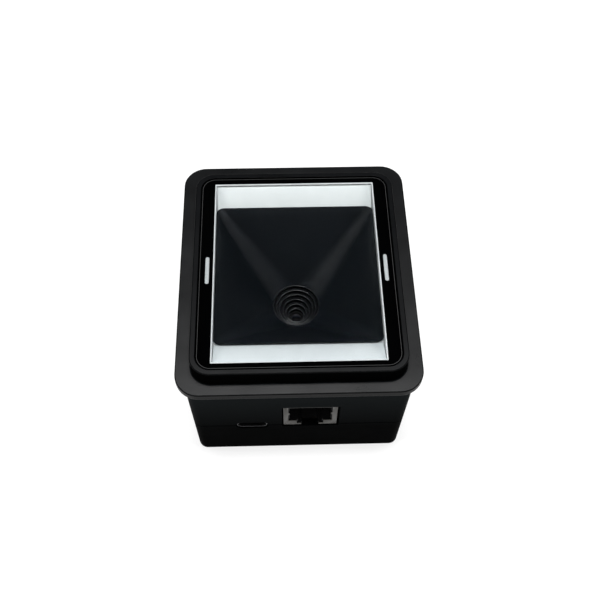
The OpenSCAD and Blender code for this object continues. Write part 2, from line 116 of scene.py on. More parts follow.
def loft(name, rings, closed=False, cap0=False, cap1=False, mats=None):
    """Rings of equal length joined by quads. mats gives a material index for the band after each ring."""
    n = len(rings[0])
    verts = [p for r in rings for p in r]
    faces, fm = [], []
    m = len(rings)
    for j in range(m if closed else m - 1):
        a, b = j * n, ((j + 1) % m) * n
        for i in range(n):
            k = (i + 1) % n
            faces.append((a + i, a + k, b + k, b + i))
            fm.append(mats[j] if mats else 0)
    if cap0:
        faces.append(tuple(range(n))[::-1]); fm.append(mats[0] if mats else 0)
    if cap1:
        faces.append(tuple((m - 1) * n + i for i in range(n))); fm.append(mats[-1] if mats else 0)
    return mesh_from(name, verts, faces, fm)

def obj(name, me):
    o = bpy.data.objects.new(name, me)
    scene.collection.objects.link(o)
    return o

def corner(d, z, R, din, dout, n=4, g=0.05):
    """Points of a rounded corner in the (offset, height) plane, with a guard point on each flat side."""
    if R <= 0:
        return [(d, z)]
    out = [(d - (R + g) * din[0], z - (R + g) * din[1])]
    cx = d - R * din[0] + R * dout[0]
    cz = z - R * din[1] + R * dout[1]
    for i in range(n + 1):
        t = math.pi / 2 * i / n
        out.append((cx - R * dout[0] * math.cos(t) + R * din[0] * math.sin(t),
                    cz - R * dout[1] * math.cos(t) + R * din[1] * math.sin(t)))
    out.append((d + (R + g) * dout[0], z + (R + g) * dout[1]))
    return out

UP, DN, OUT, IN = (0, 1), (0, -1), (1, 0), (-1, 0)

def fam_B(d, z): i = inset(z); return ring(BODW - 2 * i + 2 * d, BODL - 2 * i + 2 * d, BODR + d, 0, z)
def fam_I(d, z): i = inset(z); return ring(BODW - 2 * i - 4 + 2 * d, BODL - 2 * i - 4 + 2 * d, 0.75 + d, 0, z)
def fam_F(d, z): return ring(FLW + 2 * d, FLL + 2 * d, 6.75 + d, 0, z)
def fam_C(d, z):
    k = 0.1 * (TOP - z) / 6.0
    return ring(COLW + 2 * (d + k), COLL + 2 * (d + k), 5.5 + d + k, COL_Y, z)
def fam_G(d, z): return ring(GLW + 0.6 + 2 * d, GLL + 0.6 + 2 * d, 4.2 + d, COL_Y, z)
def fam_H(d, z): return ring(53 + 2 * d, 62.2 + 2 * d, 1.5 + d, COL_Y + 0.2, z)

def profile(items):
    """items: (family, d, z, R, in, out, material after it). Returns the rings and each band's material."""
    rings, mats = [], []
    for fam, d, z, R, din, dout, m in items:
        pts = corner(d, z, R, din, dout)
        arc, flat = m if isinstance(m, tuple) else (m, m)
        for i, (dd, zz) in enumerate(pts):
            rings.append(fam(dd, zz)); mats.append(flat if i >= len(pts) - 1 else arc)
    return rings, mats

def box_mesh(name, x0, x1, y0, y1, z0, z1):
    v = [(x, y, z) for x in (x0, x1) for y in (y0, y1) for z in (z0, z1)]
    f = [(0, 1, 3, 2), (4, 6, 7, 5), (0, 4, 5, 1), (2, 3, 7, 6), (0, 2, 6, 4), (1, 5, 7, 3)]
    return mesh_from(name, v, f)

def lathe(name, prof, yc=0.0, xc=0.0, n=64, closed=False):
    """prof: (r, z) points; closed joins the last to the first, otherwise both ends are capped on the axis."""
    rings = [circle(max(r, 0.0005), z, n, xc, yc) for r, z in prof]
    return loft(name, rings, closed=closed, cap0=not closed, cap1=not closed)

def apply_mods(o):
    dg = bpy.context.evaluated_depsgraph_get()
    me = bpy.data.meshes.new_from_object(o.evaluated_get(dg), depsgraph=dg)
    old = o.data
    o.modifiers.clear()
    o.data = me
    if old.users == 0:
        bpy.data.meshes.remove(old)
    return o

def boolean(o, cutters, op="DIFFERENCE"):
    for c in cutters:
        c = c if isinstance(c, bpy.types.Object) else obj("cutter", c)
        m = o.modifiers.new("b", "BOOLEAN")
        m.operation, m.solver, m.object = op, "EXACT", c
        apply_mods(o)
        me = c.data
        bpy.data.objects.remove(c); bpy.data.meshes.remove(me)
    return o

def bevel(o, width, segs=2, angle=40):
    m = o.modifiers.new("v", "BEVEL")
    m.width, m.segments, m.limit_method, m.angle_limit = width * MM, segs, "ANGLE", math.radians(angle)
    m.use_clamp_overlap = True
    m.harden_normals = False
    return apply_mods(o)

def shade(o, angle=35):
    bm = bmesh.new(); bm.from_mesh(o.data)
    bmesh.ops.remove_doubles(bm, verts=bm.verts, dist=1e-7)
    bmesh.ops.dissolve_degenerate(bm, dist=1e-7, edges=bm.edges)
    lim = math.radians(angle)
    for f in bm.faces: f.smooth = True
    for e in bm.edges:
        e.smooth = len(e.link_faces) == 2 and e.calc_face_angle(0.0) < lim
    bm.to_mesh(o.data); bm.free()
    o.data.update()
    return o

def join_meshes(name, meshes):
    bm = bmesh.new()
    for me in meshes:
        bm.from_mesh(me)
    out = bpy.data.meshes.new(name)
    bm.to_mesh(out); bm.free()
    for me in meshes:
        bpy.data.meshes.remove(me)
    return out

# ---------------------------------------------------------------- materials
class NT:
    def __init__(self, name):
        self.m = bpy.data.materials.new(name)
        self.m.use_nodes = True
        self.t = self.m.node_tree
        self.p = self.t.nodes["Principled BSDF"]
        self.out = self.t.nodes["Material Output"]
        self.co = self.t.nodes.new("ShaderNodeTexCoord").outputs["Object"]
    def noise(self, scale, detail=2.0, rough=0.5, dist=0.0, stretch=None):
        src = self.co
        if stretch:
            mp = self.t.nodes.new("ShaderNodeMapping")
            mp.inputs["Scale"].default_value = stretch
            self.t.links.new(src, mp.inputs["Vector"]); src = mp.outputs["Vector"]
        n = self.t.nodes.new("ShaderNodeTexNoise")
        n.inputs["Scale"].default_value = scale
        n.inputs["Detail"].default_value = detail
        n.inputs["Roughness"].default_value = rough
        n.inputs["Distortion"].default_value = dist
        self.t.links.new(src, n.inputs["Vector"])
        return n.outputs["Fac"]
    def voronoi(self, scale):
        n = self.t.nodes.new("ShaderNodeTexVoronoi")
        n.inputs["Scale"].default_value = scale
        self.t.links.new(self.co, n.inputs["Vector"])
        return n.outputs["Distance"]
    def ramp(self, fac, stops):
        r = self.t.nodes.new("ShaderNodeValToRGB")
        e = r.color_ramp.elements
        e[0].position, e[0].color = stops[0][0], (*stops[0][1], 1)
        e[1].position, e[1].color = stops[-1][0], (*stops[-1][1], 1)
        for p, c in stops[1:-1]:
            n = e.new(p); n.color = (*c, 1)
        self.t.links.new(fac, r.inputs["Fac"])
        return r.outputs["Color"]
    def span(self, fac, lo, hi, a=0.3, b=0.7):
        r = self.t.nodes.new("ShaderNodeMapRange")
        r.inputs["From Min"].default_value, r.inputs["From Max"].default_value = a, b
        r.inputs["To Min"].default_value, r.inputs["To Max"].default_value = lo, hi
        self.t.links.new(fac, r.inputs["Value"])
        return r.outputs["Result"]
    def math(self, op, a, b=None):
        n = self.t.nodes.new("ShaderNodeMath"); n.operation = op
        for i, v in enumerate((a, b)):
            if v is None: continue
            if isinstance(v, (int, float)): n.inputs[i].default_value = v
            else: self.t.links.new(v, n.inputs[i])
        return n.outputs[0]
    def bump(self, height, dist, strength=1.0, chain=None):
        b = self.t.nodes.new("ShaderNodeBump")
        b.inputs["Distance"].default_value = dist
        b.inputs["Strength"].default_value = strength
        self.t.links.new(height, b.inputs["Height"])
        if chain is not None: self.t.links.new(chain, b.inputs["Normal"])
        return b.outputs["Normal"]
    def to(self, socket, out):
        self.t.links.new(out, self.p.inputs[socket])
    def const(self, **kw):
        for k, v in kw.items():
            self.p.inputs[k.replace("_", " ")].default_value = v
        return self

def plastic(name, a, b, rough=(0.42, 0.55), spec=0.5, grain=3200, grain_h=1.2e-5, cloud=90, coat=0.0, sss=0.0, strength=0.6):
    t = NT(name)
    big = t.noise(cloud, 3.0, 0.55)
    fine = t.noise(grain, 2.0, 0.6)
    mixed = t.math("ADD", t.math("MULTIPLY", big, 0.6), t.math("MULTIPLY", fine, 0.4))
    t.to("Base Color", t.ramp(mixed, [(0.35, a), (0.65, b)]))
    t.to("Roughness", t.span(mixed, rough[0], rough[1]))
    t.to("Normal", t.bump(fine, grain_h, strength))
    t.p.inputs["Specular IOR Level"].default_value = spec
    t.p.inputs["Coat Weight"].default_value = coat
    if coat: t.p.inputs["Coat Roughness"].default_value = 0.12
    if sss:
        t.p.inputs["Subsurface Weight"].default_value = sss
        t.p.inputs["Subsurface Scale"].default_value = 0.002
    return t.m

def metal(name, a, b, rough=(0.25, 0.4), stretch=(1, 1, 14), scale=900):
    t = NT(name)
    n = t.noise(scale, 3.0, 0.6, 0.0, stretch)
    c = t.noise(220, 2.0, 0.5)
    mixed = t.math("ADD", t.math("MULTIPLY", n, 0.5), t.math("MULTIPLY", c, 0.5))
    t.to("Base Color", t.ramp(mixed, [(0.35, a), (0.65, b)]))
    t.to("Roughness", t.span(mixed, rough[0], rough[1]))
    t.to("Normal", t.bump(n, 4e-6, 0.5))
    t.p.inputs["Metallic"].default_value = 1.0
    return t.m

def lamp_clear(t, tint=(0.97, 0.98, 0.98)):
    """Lets lamps through smooth glass, so that what it shuts in is lit."""
    tr = t.t.nodes.new("ShaderNodeBsdfTransparent")
    tr.inputs["Color"].default_value = (*tint, 1)
    lp = t.t.nodes.new("ShaderNodeLightPath")
    mix = t.t.nodes.new("ShaderNodeMixShader")
    either = t.math("MAXIMUM", lp.outputs["Is Shadow Ray"], lp.outputs["Is Diffuse Ray"])
    t.t.links.new(either, mix.inputs[0])
    t.t.links.new(t.p.outputs[0], mix.inputs[1])
    t.t.links.new(tr.outputs[0], mix.inputs[2])
    t.t.links.new(mix.outputs[0], t.out.inputs["Surface"])

def glass(name, tint, rough=0.0, ior=1.5, coated=1.0):
    t = NT(name)
    n = t.noise(60, 2.0, 0.5)
    t.to("Base Color", t.ramp(n, [(0.3, tint), (0.7, tuple(min(1, c * 1.01) for c in tint))]))
    t.const(Transmission_Weight=1.0, IOR=ior, Roughness=rough, Specular_Tint=(coated, coated, coated, 1.0))
    lamp_clear(t)
    return t.m

MAT = {}
MAT["housing_top"] = plastic("housing_textured", (0.0012, 0.0015, 0.0019), (0.0026, 0.003, 0.0036), (0.27, 0.32), spec=0.6, grain=3300, grain_h=1.5e-5, strength=0.9)
MAT["housing_rim"] = plastic("housing_collar_rim", (0.0012, 0.0015, 0.0019), (0.0026, 0.003, 0.0036), (0.27, 0.31), spec=0.31, grain=5200, grain_h=0.8e-5, strength=0.8)
def moulded(name, stops, rough, spec, grain, grain_h, strength):
    """Smooth moulded wall with painted shade: its base colour darkens from the flange down to the foot, with a light
    mottle.
    """
    t = NT(name)
    z = t.t.nodes.new("ShaderNodeSeparateXYZ")
    t.t.links.new(t.co, z.inputs[0])
    h = t.math("MULTIPLY", z.outputs["Z"], 20.0)
    mott = t.noise(120, 3.0, 0.55)
    fine = t.noise(grain, 2.0, 0.6)
    # painted shade: the base colour ramps on object height, darker towards the foot
    t.to("Base Color", t.ramp(t.math("ADD", h, t.math("MULTIPLY", t.math("SUBTRACT", mott, 0.5), 0.06)), stops))
    t.to("Roughness", t.span(mott, rough[0], rough[1]))
    t.to("Normal", t.bump(fine, grain_h, strength))
    t.p.inputs["Specular IOR Level"].default_value = spec
    return t.m
g = lambda v: (v * 0.84, v * 1.0, v * 1.06)
# painted shade: a darker, nearly gloss-free copy of the housing plastic for fillets and edges where dark lines of shade
# fall
MAT["housing_edge"] = plastic("housing_edges_painted_shade", (0.0012, 0.0014, 0.0016), (0.002, 0.0024, 0.0027), (0.26, 0.32), spec=0.025, grain=3000, grain_h=0.8e-5, strength=0.4)
# painted shade: the side colour darkens towards the foot and drops to near black on the collar wall above the flange
MAT["housing_side"] = moulded("housing_sides_painted_shade", [(0.0, g(0.0004)), (0.16, g(0.0006)), (0.32, g(0.0009)), (0.4, g(0.003)), (0.8, g(0.0122)), (0.84, g(0.0122)), (0.87, g(0.0008)), (1.0, g(0.0008))], (0.36, 0.46), 0.001, 3400, 0.8e-5, 0.5)
MAT["funnel"] = plastic("funnel_plastic", (0.0014, 0.0022, 0.0031), (0.0024, 0.0034, 0.0047), (0.3, 0.36), spec=0.21, grain=4200, grain_h=0.4e-5, strength=0.35)
# painted shade: a darker copy of the funnel plastic on the step treads and risers
MAT["funnel_step"] = plastic("funnel_steps_painted_shade", (0.0006, 0.0007, 0.0009), (0.0011, 0.0013, 0.0016), (0.4, 0.5), spec=0.02, grain=4200, grain_h=0.3e-5, strength=0.3)
# painted highlight: a lighter, glossier copy of the funnel plastic on the step beads and the mouth lip
MAT["funnel_edge"] = plastic("funnel_step_edges_painted_highlight", (0.004, 0.0047, 0.006), (0.006, 0.007, 0.0088), (0.2, 0.24), spec=0.8, grain=4200, grain_h=0.3e-5, strength=0.3)
MAT["white"] = plastic("white_plastic", (0.48, 0.495, 0.505), (0.54, 0.555, 0.565), (0.4, 0.5), spec=0.3, grain=2500, grain_h=0.5e-5, strength=0.3)
# painted light: far and near panels are lit and shaded copies of one diffuser white, tuned separately for how light
# falls on each
MAT["diffuser_far"] = plastic("diffuser_far_painted_light", (0.515, 0.543, 0.545), (0.563, 0.587, 0.589), (0.45, 0.6), spec=0.3, grain=1500, grain_h=0.8e-5, cloud=160, strength=0.4)
MAT["diffuser_near"] = plastic("diffuser_near_painted_light", (0.51, 0.545, 0.56), (0.56, 0.595, 0.61), (0.45, 0.6), spec=0.3, grain=1500, grain_h=0.8e-5, cloud=160, strength=0.4)
MAT["pipe"] = plastic("light_pipe", (0.35, 0.368, 0.375), (0.40, 0.416, 0.424), (0.25, 0.35), spec=0.4, grain=2000, grain_h=0.4e-5, strength=0.3)
MAT["print"] = plastic("printed_border", (0.0004, 0.0004, 0.0005), (0.0007, 0.0007, 0.0008), (0.5, 0.6), spec=0.0, grain=5000, grain_h=0.2e-5, strength=0.2)
MAT["glass"] = glass("window_glass", (0.985, 0.99, 0.99), coated=0.05)
# painted highlight: a grey band standing in for the glint along the pane's top chamfer
MAT["glass_edge_band"] = plastic("glass_edge_painted_highlight", (0.045, 0.046, 0.046), (0.06, 0.061, 0.061), (0.45, 0.55), spec=0.1, grain=3000, grain_h=0.4e-5)
MAT["lens"] = glass("lens_glass", (0.6, 0.63, 0.75), rough=0.035, ior=1.6, coated=1.0)
MAT["filter"] = glass("filter_glass", (0.6, 0.85, 0.8))
# painted shade: the tinned shell's colour is darkened far below bare tin to stand for the shade under the flange
MAT["shell"] = metal("tinned_sheet_painted_shade", (0.037, 0.0358, 0.033), (0.053, 0.051, 0.047), (0.34, 0.48))
# painted shade: the USB shell's metal is darkened far below bare nickel to stand for the shade under the flange
MAT["usb_shell"] = metal("usb_shell_metal_painted_shade", (0.022, 0.022, 0.024), (0.038, 0.038, 0.04), (0.3, 0.42))
MAT["insulator"] = plastic("insulator", (0.002, 0.002, 0.0023), (0.004, 0.004, 0.0045), (0.5, 0.62), spec=0.06)
MAT["lens_black"] = plastic("lens_black", (0.001, 0.001, 0.0012), (0.002, 0.002, 0.0024), (0.28, 0.34), spec=0.32)
MAT["gold"] = metal("gold_plate", (0.78, 0.55, 0.2), (0.86, 0.64, 0.28), (0.2, 0.32))
MAT["brass"] = metal("brass", (0.55, 0.40, 0.16), (0.68, 0.5, 0.22), (0.25, 0.4), stretch=(1, 1, 4))
MAT["screw"] = metal("black_zinc", (0.07, 0.07, 0.075), (0.13, 0.13, 0.135), (0.3, 0.45), stretch=(1, 1, 1))
MAT["can"] = metal("can_metal", (0.58, 0.58, 0.6), (0.68, 0.68, 0.69), (0.22, 0.34))
MAT["black_pcb"] = plastic("black_board", (0.004, 0.004, 0.0045), (0.007, 0.007, 0.008), (0.3, 0.45), spec=0.15, grain=900, grain_h=1e-5)
MAT["pcb"] = plastic("green_board", (0.008, 0.07, 0.035), (0.014, 0.11, 0.055), (0.25, 0.4), grain=900, grain_h=1e-5, coat=0.4)
MAT["wpcb"] = plastic("white_board", (0.70, 0.70, 0.68), (0.78, 0.78, 0.76), (0.3, 0.42), grain=900, grain_h=1e-5, coat=0.3)
MAT["led"] = plastic("phosphor", (0.75, 0.62, 0.2), (0.86, 0.76, 0.34), (0.3, 0.5))
MAT["chip"] = plastic("chip_epoxy", (0.014, 0.014, 0.015), (0.024, 0.024, 0.026), (0.5, 0.65), spec=0.3)
MAT["sensor"] = plastic("sensor", (0.02, 0.02, 0.04), (0.05, 0.045, 0.08), (0.08, 0.14), coat=0.5)
MAT["amber"] = plastic("polyimide", (0.42, 0.2, 0.035), (0.55, 0.28, 0.06), (0.25, 0.4))
MAT["ffc"] = plastic("flat_cable", (0.66, 0.66, 0.64), (0.75, 0.75, 0.73), (0.3, 0.45))
MAT["beige"] = plastic("connector", (0.6, 0.56, 0.48), (0.7, 0.66, 0.58), (0.4, 0.55))
MAT["foam"] = plastic("foam_tape", (0.012, 0.012, 0.012), (0.03, 0.03, 0.03), (0.8, 0.95), spec=0.1, grain=1400, grain_h=6e-5)
MAT["ferrite"] = plastic("ferrite", (0.035, 0.035, 0.04), (0.06, 0.06, 0.065), (0.5, 0.7))

def piece(o, node, mats):
    ms = o.data.materials
    for i, m in enumerate(mats):
        if i < len(ms): ms[i] = MAT[m]
        else: ms.append(MAT[m])
    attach(o, "root")
    if node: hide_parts(*([node] if isinstance(node, str) else node))
    return o

# ---------------------------------------------------------------- top housing
Z0 = SPLIT + 0.05
# band material 2 is the darker edge copy, painted shade on fillets and edges
rings, mats = profile([
    (fam_I, 0, Z0, 0, None, None, 0),
    (fam_B, 0, Z0, 0.22, OUT, UP, 0),
    (fam_B, 0, ROOF, 0.2, UP, OUT, 0),
    (fam_F, 0, ROOF, 0.4, OUT, UP, 2),
    (fam_F, 0, FLZ, 0.24, UP, IN, (2, 1)),
    (fam_C, 0, FLZ, 0.2, IN, UP, 0),
    (fam_C, 0, TOP, 0.24, UP, IN, (2, 3)),
    (fam_G, 0, TOP, 0.12, IN, DN, (2, 0)),
    (fam_G, 0, K_LO[2] - 0.3, 0, None, None, 0),
    (fam_H, 0, K_LO[2] - 0.3, 0, None, None, 0),
    (fam_H, 0, ROOF, 0, None, None, 0),
    (fam_I, 0, ROOF, 0, None, None, 0),
])
housing = obj("housing_shell", loft("housing_shell", rings, closed=True, mats=mats))
for m in ("housing_side", "housing_top", "housing_edge", "housing_rim"):
    housing.data.materials.append(MAT[m])

def wall_y(z): return -(BODL / 2 - inset(z))

def rect_cut(x0, x1, z0, z1, r, depth, flare=0.3):
    """A cutter for the front wall: a rounded rectangle that flares out at the wall's face."""
    yc = wall_y((z0 + z1) / 2)
    rs = []
    for y, f in ((yc - 1.5, flare + 1.4), (yc - 0.0, flare * 0.45), (yc + 0.25, 0.0), (depth, 0.0)):
        w, h, rr = x1 - x0 + 2 * f, z1 - z0 + 2 * f, min(r + f, (z1 - z0) / 2 + f - 0.001)
        rs.append([(p[0], y, p[1]) for p in ring(w, h, rr, (z0 + z1) / 2, 0, 8, (x0 + x1) / 2)])
    return loft("cut", rs, cap0=True, cap1=True)

rjx = (RJ_LO[0] + RJ_HI[0]) / 2
usx, usz = -13.8, (US_LO[2] + US_HI[2]) / 2
def port_cutters():
    return [rect_cut(RJ_LO[0] - 0.3, RJ_HI[0] + 0.6, RJ_LO[2] - 0.2, RJ_HI[2] + 0.25, 0.35, -BODL / 2 + 3.2),
            rect_cut(usx - 4.47 - 0.3, usx + 4.47 + 0.3, usz - 1.63 - 0.3, usz + 1.63 + 0.3, 1.93, -BODL / 2 + 3.2)]

CX, CY = 26.9, 33.2
posts = [loft("post", [circle(2.6, SPLIT, 40, sx * CX, sy * CY), circle(2.6, ROOF + 0.3, 40, sx * CX, sy * CY)], cap0=True, cap1=True)
         for sx in (-1, 1) for sy in (-1, 1)]
for s in (-1, 1):
    posts.append(loft("post", [circle(2.2, DECK, 40, s * 19, 32.8), circle(2.2, ROOF + 0.3, 40, s * 19, 32.8)], cap0=True, cap1=True))
    posts.append(loft("post", [circle(2.0, DECK, 40, s * 19, -34), circle(2.0, ROOF + 0.3, 40, s * 19, -34)], cap0=True, cap1=True))
boolean(housing, posts, "UNION")
drills = [loft("drill", [circle(1.05, SPLIT - 1, 32, sx * CX, sy * CY), circle(1.05, SPLIT + 9, 32, sx * CX, sy * CY)], cap0=True, cap1=True)
          for sx in (-1, 1) for sy in (-1, 1)]
for s in (-1, 1):
    for y in (32.8, -34):
        drills.append(loft("drill", [circle(0.9, DECK - 1, 32, s * 19, y), circle(0.9, DECK + 4.6, 32, s * 19, y)], cap0=True, cap1=True))
boolean(housing, drills + port_cutters())
shade(housing, 38)
piece(housing, "top_housing", ["housing_side", "housing_top", "housing_edge", "housing_rim"])

# ---------------------------------------------------------------- lower cover
Z1 = SPLIT - 0.1
rings, mats = profile([
    (fam_I, 0, 2.2, 0, None, None, 0),
    (fam_I, 0, Z1, 0, None, None, 0),
    (fam_B, 0, Z1, 0.22, OUT, DN, 0),
    (fam_B, 0, 0, 0.7, DN, IN, 0),
])
cover = obj("lower_shell", loft("lower_shell", rings, cap0=True, cap1=True, mats=mats))
adds = []
for sx in (-1, 1):
    for sy in (-1, 1):
        adds.append(loft("p", [circle(3.4, 1.0, 40, sx * CX, sy * CY), circle(3.4, 9, 40, sx * CX, sy * CY)], cap0=True, cap1=True))
        adds.append(loft("p", [circle(2.6, 1.0, 40, sx * CX, sy * CY), circle(2.6, SPLIT, 40, sx * CX, sy * CY)], cap0=True, cap1=True))
    for y in (22, -19):
        adds.append(loft("p", [circle(2.6, 1.0, 40, sx * 24.5, y), circle(2.6, SPLIT - 2.6, 40, sx * 24.5, y)], cap0=True, cap1=True))
    adds.append(loft("p", [circle(3.8, 1.0, 40, sx * 20, 0), circle(3.8, 8, 40, sx * 20, 0)], cap0=True, cap1=True))
mid = BODW / 2 - 2 - inset(SPLIT)
far = BODL / 2 - 2 - inset(SPLIT)
for s in (-1, 1):
    a, b = sorted((s * (mid - 1.0), s * (mid - 0.1)))
    adds.append(box_mesh("t", a, b, -16, 18, SPLIT - 2, SPLIT + 1.4))
    a, b = sorted((s * (mid - 0.5), s * (mid + 0.6)))
    adds.append(box_mesh("t", a, b, -16, 18, SPLIT - 2, SPLIT - 0.6))
adds.append(box_mesh("t", -20, 20, far - 1.0, far - 0.1, SPLIT - 2, SPLIT + 1.4))
adds.append(box_mesh("t", -20, 20, far - 0.5, far + 0.6, SPLIT - 2, SPLIT - 0.6))
boolean(cover, adds, "UNION")
cuts = port_cutters()
def chamfer_hole(r, z_top, x, y, c=0.25, n=40, r2=None, z2=None):
    prof = [(r + c + 1.0, -1.0), (r + c, 0.0), (r, c), (r, z_top)]
    if r2: prof += [(r2, z_top), (r2, z2)]
    rs = [circle(q, z, n, x, y) for q, z in prof]
    return loft("h", rs, cap0=True, cap1=True)
for sx in (-1, 1):
    for sy in (-1, 1):
        cuts.append(chamfer_hole(2.4, 7, sx * CX, sy * CY, 0.25, 48, 1.3, SPLIT + 1))
    for y in (22, -19):
        cuts.append(loft("h", [circle(0.9, SPLIT - 9.6, 32, sx * 24.5, y), circle(0.9, SPLIT, 32, sx * 24.5, y)], cap0=True, cap1=True))
    cuts.append(loft("h", [circle(2.1, -1, 48, sx * 20, 0), circle(2.1, 6.4, 48, sx * 20, 0)], cap0=True, cap1=True))
for k in range(7):
    a = math.radians(60 * k)
    x, y = (15.5, 19.5) if k == 6 else (15.5 + 2.6 * math.cos(a), 19.5 + 2.6 * math.sin(a))
    cuts.append(chamfer_hole(0.7, 4, x, y, 0.15, 24))
boolean(cover, cuts)
shade(cover, 38)
# the lower cover takes the side plastic with its painted shade towards the foot
piece(cover, "lower_cover", ["housing_side"])

# ---------------------------------------------------------------- window
c = 0.14
gl = lambda d, z: ring(GLW + 2 * d, GLL + 2 * d, 3.9 + d, COL_Y, z, 14)
# the thin flat band inside the top chamfer (material 1) carries the painted edge highlight
glass_o = obj("glass_pane", loft("glass_pane", [gl(-c, G_LO[2]), gl(0, G_LO[2] + c), gl(0, G_HI[2] - c), gl(-c, G_HI[2]), gl(-c - 0.1, G_HI[2])], cap0=True, cap1=True, mats=[0, 0, 0, 1, 0]))
for m in ("glass", "glass_edge_band"):
    glass_o.data.materials.append(MAT[m])
shade(glass_o, 30)
piece(glass_o, "window_glass", ["glass", "glass_edge_band"])

mask = obj("glass_print", loft("glass_print", [ring(GLW - 0.4, GLL - 0.4, 3.7, COL_Y, K_LO[2], 14), ring(GLW - 0.4, GLL - 0.4, 3.7, COL_Y, K_HI[2], 14)], cap0=True, cap1=True))
SL, SW, SX, SY = 9.2, 1.15, 25.55, -2.35
slot_ring = lambda s, z, d=0.0: ring(SW + 2 * d, SL + 2 * d, SW / 2 + d - 0.001, SY, z, 10, s * SX)
boolean(mask, [box_mesh("c", -CLW / 2, CLW / 2, WIN_Y - CLL / 2, WIN_Y + CLL / 2, K_LO[2] - 1, K_HI[2] + 1)] +
        [loft("c", [slot_ring(s, K_LO[2] - 1), slot_ring(s, K_HI[2] + 1)], cap0=True, cap1=True) for s in (-1, 1)])
shade(mask, 30)
piece(mask, "window_mask", ["print"])

meshes = []
for s in (-1, 1):
    zt = PI_HI[2]
    meshes.append(loft("pipe", [slot_ring(s, ROOF - 0.3), slot_ring(s, zt - 0.08), slot_ring(s, zt, -0.08)], cap0=True, cap1=True))
    meshes.append(loft("foot", [ring(2.6, 10.8, 0.4, SY, PI_LO[2], 4, s * SX), ring(2.6, 10.8, 0.4, SY, ROOF - 0.1, 4, s * SX)], cap0=True, cap1=True))
p = []
for i in range(2):
    a = obj("light_pipe_%d" % (i + 1), meshes[2 * i])
    boolean(a, [meshes[2 * i + 1]], "UNION"); p.append(a)
pipes = obj("light_pipes", join_meshes("light_pipes", [o.data.copy() for o in p]))
for o in p:
    bpy.data.objects.remove(o)
shade(pipes, 30)
piece(pipes, "status_light_pipes", ["pipe"])

# ---------------------------------------------------------------- light funnel
SEG = 16
def fun_ring(t, off, z):
    """Section between the mouth (t=0) and the throat (t=1)."""
    r0, r1 = MR + off, THROAT_R + off
    r = (1 - t) * r0 + t * r1
    hx = (1 - t) * (MW / 2 + off) + t * (r1 + 0.004)
    hy = (1 - t) * (ML / 2 + off) + t * (r1 + 0.004)
    return ring(2 * hx, 2 * hy, r, WIN_Y, z, SEG)
def crc(r, z): return ring(2 * r, 2 * r, r - 0.002, WIN_Y, z, SEG)

zb = FU_LO[2]
rings, fm = [], []
def add(r, m=0):
    rings.append(r); fm.append(m)
# inside: steps up from the lens, each with a fine bead round its edge, then the four walls; treads and risers take the
# painted-shade copy (2), beads the painted-highlight copy (1)
steps = [(2.29, 18.3), (3.07, 19.8), (4.0, 21.3), (5.06, 22.6), (5.96, 23.7), (6.9, 24.9), (THROAT_R, THROAT_Z)]
for i, (r, z) in enumerate(steps[:-1]):
    znext, rnext = steps[i + 1][1], steps[i + 1][0]
    w_, h_ = (0.26, 0.1) if i < 5 else (0.28, 0.16)
    add(crc(r, z), 2)
    add(crc(r, z + 0.08), 2)
    add(crc(r, znext - 0.12), 2)
    add(crc(r, znext - 0.04), 1)
    for k in range(7):
        a = math.pi * k / 6
        add(crc(r + w_ / 2 - w_ / 2 * math.cos(a), znext + h_ * math.sin(a)), 1 if k < 6 else (2 if i < 5 else 0))
    if rnext - r - w_ > 0.1:
        add(crc(r + w_ + 0.04, znext), 2)
T_IN = [0.0, 0.12, 0.3, 0.5, 0.7, 0.88, 1.0]
lip = 0.26
# the lip band at the mouth takes the painted-highlight copy (1)
for t in reversed(T_IN):
    z = RIM * (1 - t) + THROAT_Z * t
    if t == 0.0:
        add(fun_ring(0.012, -lip, RIM - 0.22)); add(fun_ring(0.0, -lip + 0.02, RIM - 0.05), 1); add(fun_ring(0.0, -lip * 0.75, RIM))
    else:
        add(fun_ring(t, -lip * (1 - t), z))
add(fun_ring(0, -0.07, RIM)); add(fun_ring(0, 0, RIM - 0.07))
z_out = THROAT_Z - 1.6
for t in (0.05, 0.5, 0.9):
    add(fun_ring(t, 0, RIM * (1 - t) + z_out * t))
for r, z in ((8.5, THROAT_Z), (8.5, 19.8), (8.5, 16.9), (3.9, 16.9), (3.9, 18.3)):
    add(crc(r, z))
funnel = obj("funnel_body", loft("funnel_body", rings, closed=True, mats=fm))
for m in ("funnel", "funnel_edge", "funnel_step"):
    funnel.data.materials.append(MAT[m])
blocks = []
bb = box_mesh("deckp", -28.4, 28.4, -34.7, 34.9, DECK - 1.5, DECK)
deck = obj("deck", bb)
cut = [loft("c", [fun_ring((RIM - DECK) / (RIM - z_out), -0.15, DECK + 0.0), fun_ring((RIM - DECK + 3) / (RIM - z_out), -0.15, DECK - 3)], cap0=True, cap1=True)]
tt = lambda z: (RIM - z) / (RIM - z_out)
cut = [loft("c", [fun_ring(tt(DECK + 1), -0.2, DECK + 1), fun_ring(tt(DECK - 3), -0.2, DECK - 3)], cap0=True, cap1=True)]
for sx in (-1, 1):
    for sy in (-1, 1):
        cut.append(loft("c", [circle(3.3, 30, 32, sx * CX, sy * CY), circle(3.3, 40, 32, sx * CX, sy * CY)], cap0=True, cap1=True))
    cut.append(loft("c", [circle(1.15, 30, 24, sx * 19, 32.8), circle(1.15, 40, 24, sx * 19, 32.8)], cap0=True, cap1=True))
    cut.append(loft("c", [circle(1.3, 30, 24, sx * 19, -33.6), circle(1.3, 40, 24, sx * 19, -33.6)], cap0=True, cap1=True))
    a, b = sorted((sx * 27.5, sx * 29))
    cut.append(box_mesh("c", a, b, SY - 2.6, SY + 2.6, 30, 40))
cut += [box_mesh("c", -4, 4, 30.9, 32.2, 30, 40), box_mesh("c", 11.8, 16.4, -34, -32.6, 30, 40)]
boolean(deck, cut)
